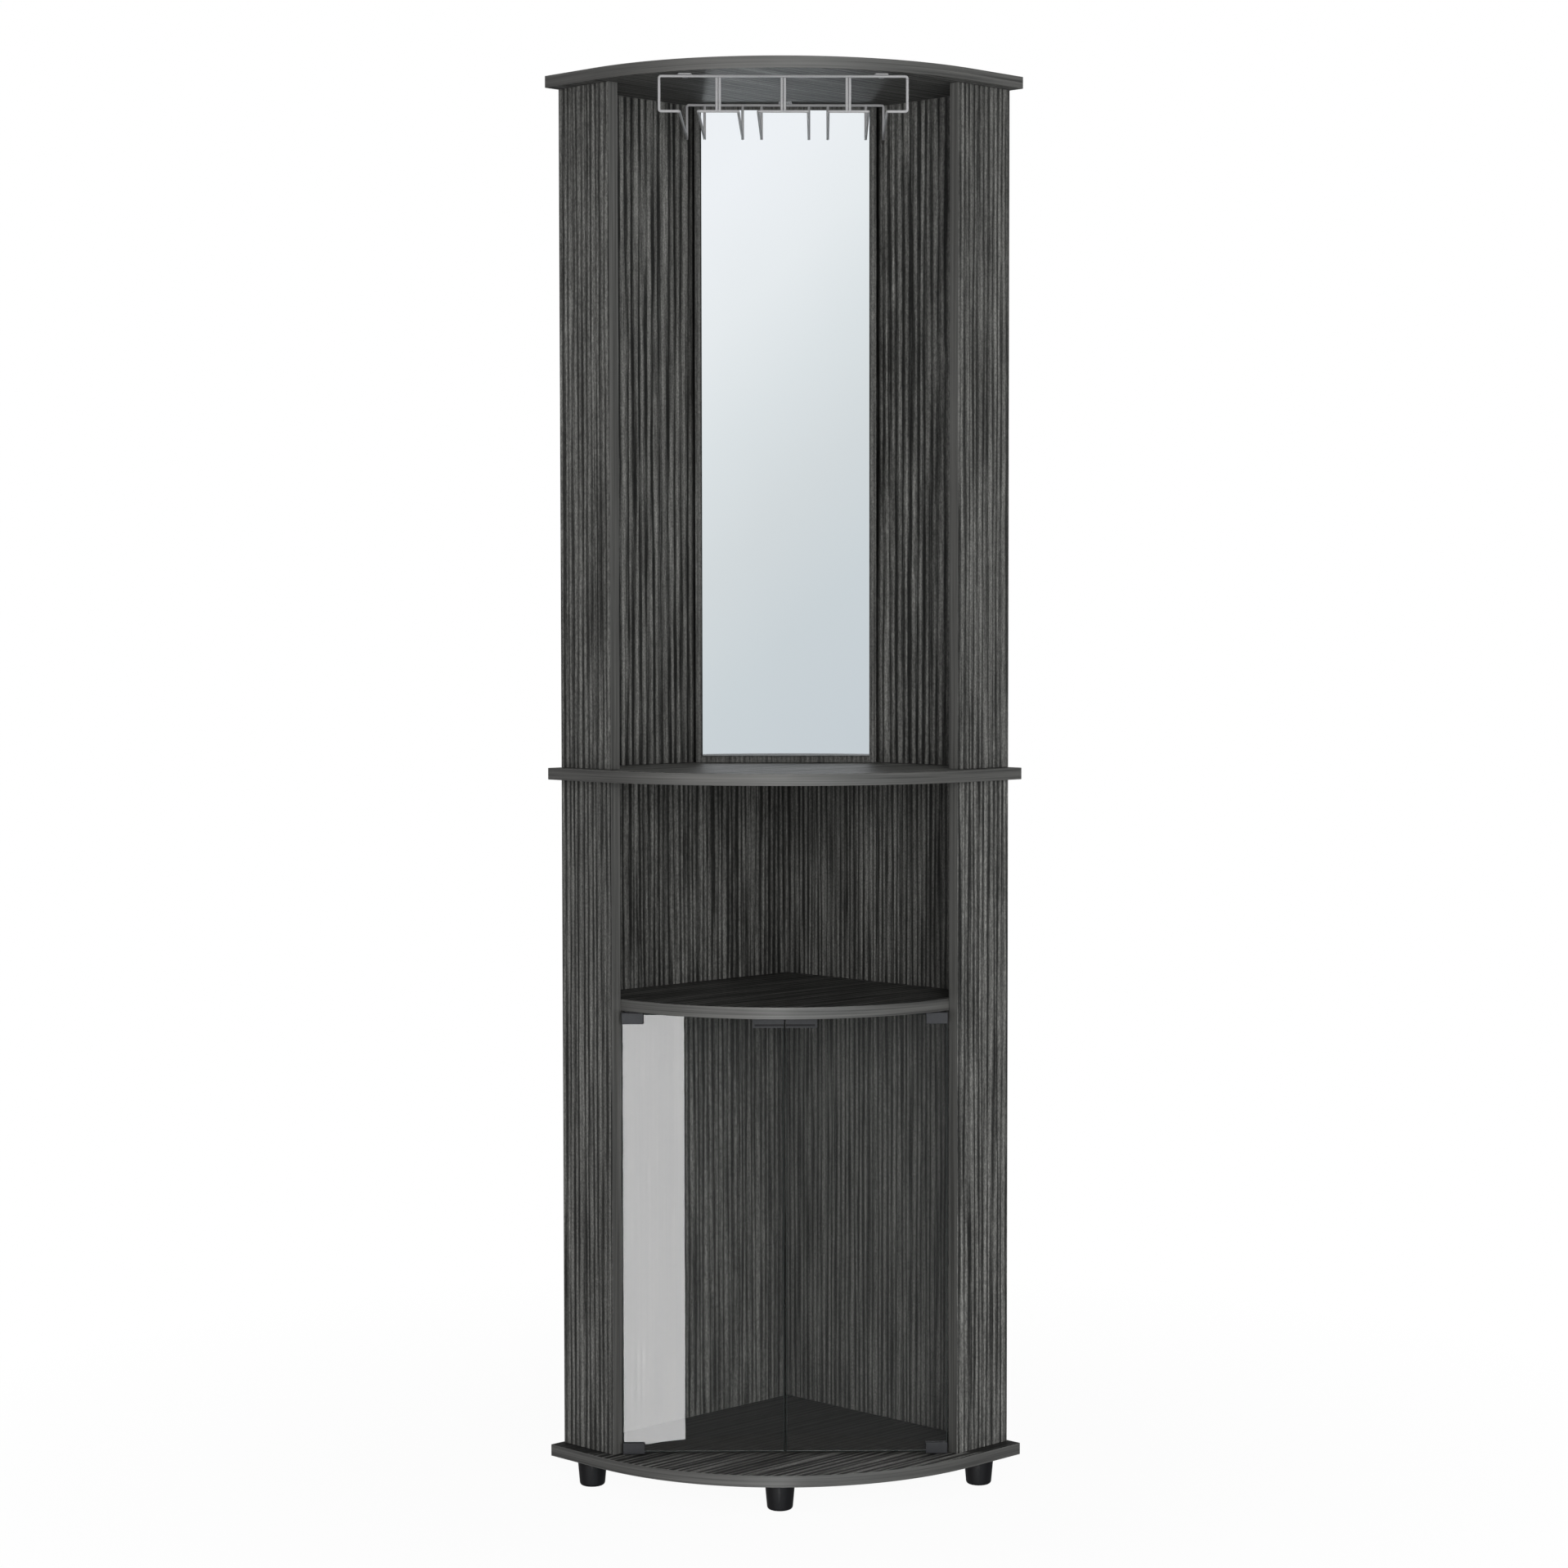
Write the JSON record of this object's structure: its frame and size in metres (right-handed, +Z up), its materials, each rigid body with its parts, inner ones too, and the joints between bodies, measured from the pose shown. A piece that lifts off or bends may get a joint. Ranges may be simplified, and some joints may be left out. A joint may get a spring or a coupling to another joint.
{
  "type": "corner bar cabinet",
  "caption": "Tall corner bar cabinet on feet, with rounded plates, an open mirrored bay with a hanging stemware rack, an open niche and a cupboard with swinging glass doors.",
  "frame": {"origin": "on the floor under the middle of the plan's bounding box", "axes": "+Z up, -Y towards the front with the doors, +Y towards the corner of the room, +X to the right as seen from the front"},
  "size_m": [0.6078, 0.4701, 1.806],
  "materials": {
    "charcoal_board": "charcoal woodgrain foil on particleboard",
    "mirror": "silvered glass",
    "foam_tape": "double-sided foam tape",
    "grey_wire": "satin grey wire",
    "clear_glass": "clear polished glass",
    "dark_metal": "satin dark grey metal",
    "rubber": "soft black rubber",
    "steel": "plain zinc-plated steel",
    "nylon": "natural nylon",
    "black_plastic": "matt black plastic"
  },
  "bodies": {
    "cabinet": {"bottom_panel": "charcoal_board", "catch_housing": "black_plastic", "front_catch_screw": "steel", "front_foot": "black_plastic", "front_foot_screw": "steel", "inner_shelf": "charcoal_board", "left_catch_spring": "steel", "left_foot": "black_plastic", "left_foot_screw": "steel", "left_lower_pivot_bush": "nylon", "left_upper_pivot_bush": "nylon", "lower_left_back_panel": "charcoal_board", "lower_left_side_panel": "charcoal_board", "lower_right_back_panel": "charcoal_board", "lower_right_side_panel": "charcoal_board", "middle_panel": "charcoal_board", "mirror": "mirror", "mirror_board": "charcoal_board", "mirror_tape": "foam_tape", "rack_front_bar": "grey_wire", "rack_left_loop": "grey_wire", "rack_left_rail": "grey_wire", "rack_left_screw": "steel", "rack_middle_loop": "grey_wire", "rack_rear_frame": "grey_wire", "rack_rear_screw": "steel", "rack_right_loop": "grey_wire", "rack_right_rail": "grey_wire", "rack_right_screw": "steel", "rear_catch_screw": "steel", "rear_foot": "black_plastic", "rear_foot_screw": "steel", "right_catch_spring": "steel", "right_foot": "black_plastic", "right_foot_screw": "steel", "right_lower_pivot_bush": "nylon", "right_upper_pivot_bush": "nylon", "top_panel": "charcoal_board", "upper_left_back_panel": "charcoal_board", "upper_left_side_panel": "charcoal_board", "upper_right_back_panel": "charcoal_board", "upper_right_side_panel": "charcoal_board"},
    "left_door": {"left_door_glass": "clear_glass", "left_lower_clamp": "dark_metal", "left_lower_clamp_liner": "rubber", "left_lower_pivot_pin": "steel", "left_strike_plate": "dark_metal", "left_upper_clamp": "dark_metal", "left_upper_clamp_liner": "rubber", "left_upper_pivot_pin": "steel"},
    "right_door": {"right_door_glass": "clear_glass", "right_lower_clamp": "dark_metal", "right_lower_clamp_liner": "rubber", "right_lower_pivot_pin": "steel", "right_strike_plate": "dark_metal", "right_upper_clamp": "dark_metal", "right_upper_clamp_liner": "rubber", "right_upper_pivot_pin": "steel"},
    "left_plunger": {"left_catch_plunger": "black_plastic"},
    "right_plunger": {"right_catch_plunger": "black_plastic"}
  },
  "joints": [
    {"name": "left_door_hinge", "type": "hinge", "parent": "cabinet", "child": "left_door", "pos_m": [-0.19555, -0.124, 0.049], "axis": [0, 0, -1], "range_deg": [0, 150]},
    {"name": "right_door_hinge", "type": "hinge", "parent": "cabinet", "child": "right_door", "pos_m": [0.19555, -0.124, 0.049], "axis": [0, 0, 1], "range_deg": [0, 150]},
    {"name": "left_plunger_slide", "type": "slide", "parent": "cabinet", "child": "left_plunger", "axis": [0, 1, 0], "range_m": [0, 0.003], "stiffness_N_per_m": 300, "springref_m": -0.006, "deforming": ["left_catch_spring"]},
    {"name": "right_plunger_slide", "type": "slide", "parent": "cabinet", "child": "right_plunger", "axis": [0, 1, 0], "range_m": [0, 0.003], "stiffness_N_per_m": 300, "springref_m": -0.006, "deforming": ["right_catch_spring"]}
  ]
}
